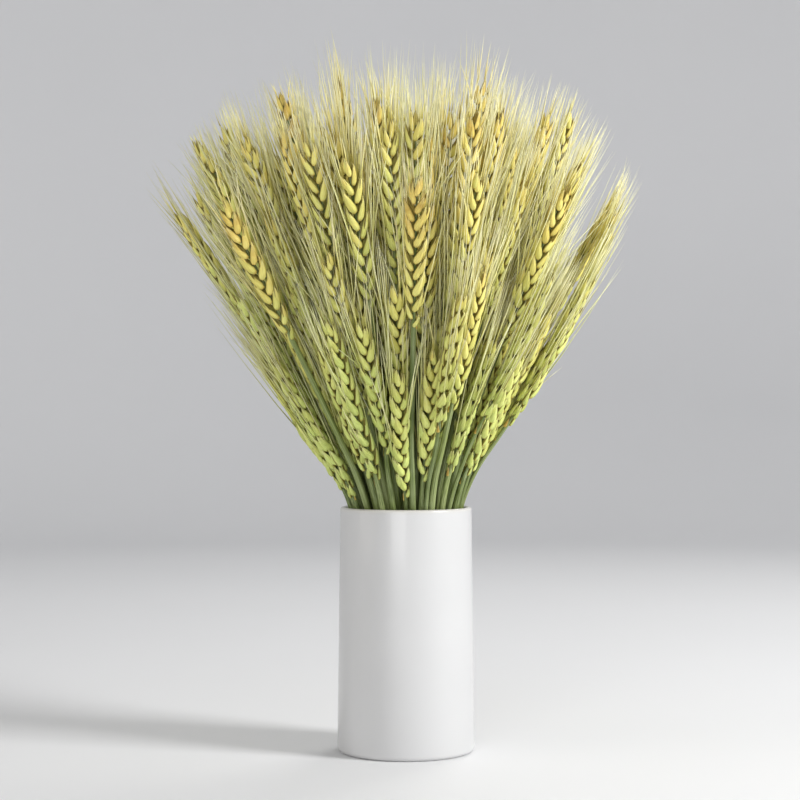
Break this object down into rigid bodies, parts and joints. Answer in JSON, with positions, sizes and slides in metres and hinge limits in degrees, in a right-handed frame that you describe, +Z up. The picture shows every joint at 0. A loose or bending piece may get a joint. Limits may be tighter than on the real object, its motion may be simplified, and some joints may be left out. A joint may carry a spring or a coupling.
{
  "type": "dried wheat bunch in a vase",
  "caption": "Dense round bunch of dried bearded wheat, ears fanned out over bare green stems, standing in a plain white glazed cylinder vase.",
  "frame": {"origin": "centre of the vase's flat base, on the surface that it stands on", "axes": "+Z up along the vase, -Y towards the front of the bunch, +X to the right seen from the front"},
  "size_m": [0.297, 0.296, 0.3966],
  "materials": {
    "vase_glaze": "smooth white gloss glaze",
    "wheat_straw": "dry straw, yellow-green, softly glossy on the husks"
  },
  "bodies": {
    "root": {"vase": "vase_glaze", "wheat_stalks_01": "wheat_straw", "wheat_stalks_02": "wheat_straw", "wheat_stalks_03": "wheat_straw", "wheat_stalks_04": "wheat_straw", "wheat_stalks_05": "wheat_straw", "wheat_stalks_06": "wheat_straw", "wheat_stalks_07": "wheat_straw", "wheat_stalks_08": "wheat_straw", "wheat_stalks_09": "wheat_straw", "wheat_stalks_10": "wheat_straw", "wheat_stalks_11": "wheat_straw", "wheat_stalks_12": "wheat_straw", "wheat_stalks_13": "wheat_straw", "wheat_stalks_14": "wheat_straw", "wheat_stalks_15": "wheat_straw", "wheat_stalks_16": "wheat_straw", "wheat_stalks_17": "wheat_straw", "wheat_stalks_18": "wheat_straw", "wheat_stalks_19": "wheat_straw", "wheat_stalks_20": "wheat_straw", "wheat_stalks_21": "wheat_straw", "wheat_stalks_22": "wheat_straw", "wheat_stalks_23": "wheat_straw", "wheat_stalks_24": "wheat_straw", "wheat_stalks_25": "wheat_straw", "wheat_stalks_26": "wheat_straw", "wheat_stalks_27": "wheat_straw", "wheat_stalks_28": "wheat_straw", "wheat_stalks_29": "wheat_straw", "wheat_stalks_30": "wheat_straw", "wheat_stalks_31": "wheat_straw", "wheat_stalks_32": "wheat_straw", "wheat_stalks_33": "wheat_straw", "wheat_stalks_34": "wheat_straw", "wheat_stalks_35": "wheat_straw", "wheat_stalks_36": "wheat_straw", "wheat_stalks_37": "wheat_straw", "wheat_stalks_38": "wheat_straw", "wheat_stalks_39": "wheat_straw", "wheat_stalks_40": "wheat_straw", "wheat_stalks_41": "wheat_straw", "wheat_stalks_42": "wheat_straw", "wheat_stalks_43": "wheat_straw", "wheat_stalks_44": "wheat_straw", "wheat_stalks_45": "wheat_straw", "wheat_stalks_46": "wheat_straw", "wheat_stalks_47": "wheat_straw", "wheat_stalks_48": "wheat_straw", "wheat_stalks_49": "wheat_straw", "wheat_stalks_50": "wheat_straw", "wheat_stalks_51": "wheat_straw", "wheat_stalks_52": "wheat_straw", "wheat_stalks_53": "wheat_straw", "wheat_stalks_54": "wheat_straw", "wheat_stalks_55": "wheat_straw", "wheat_stalks_56": "wheat_straw"}
  },
  "joints": []
}
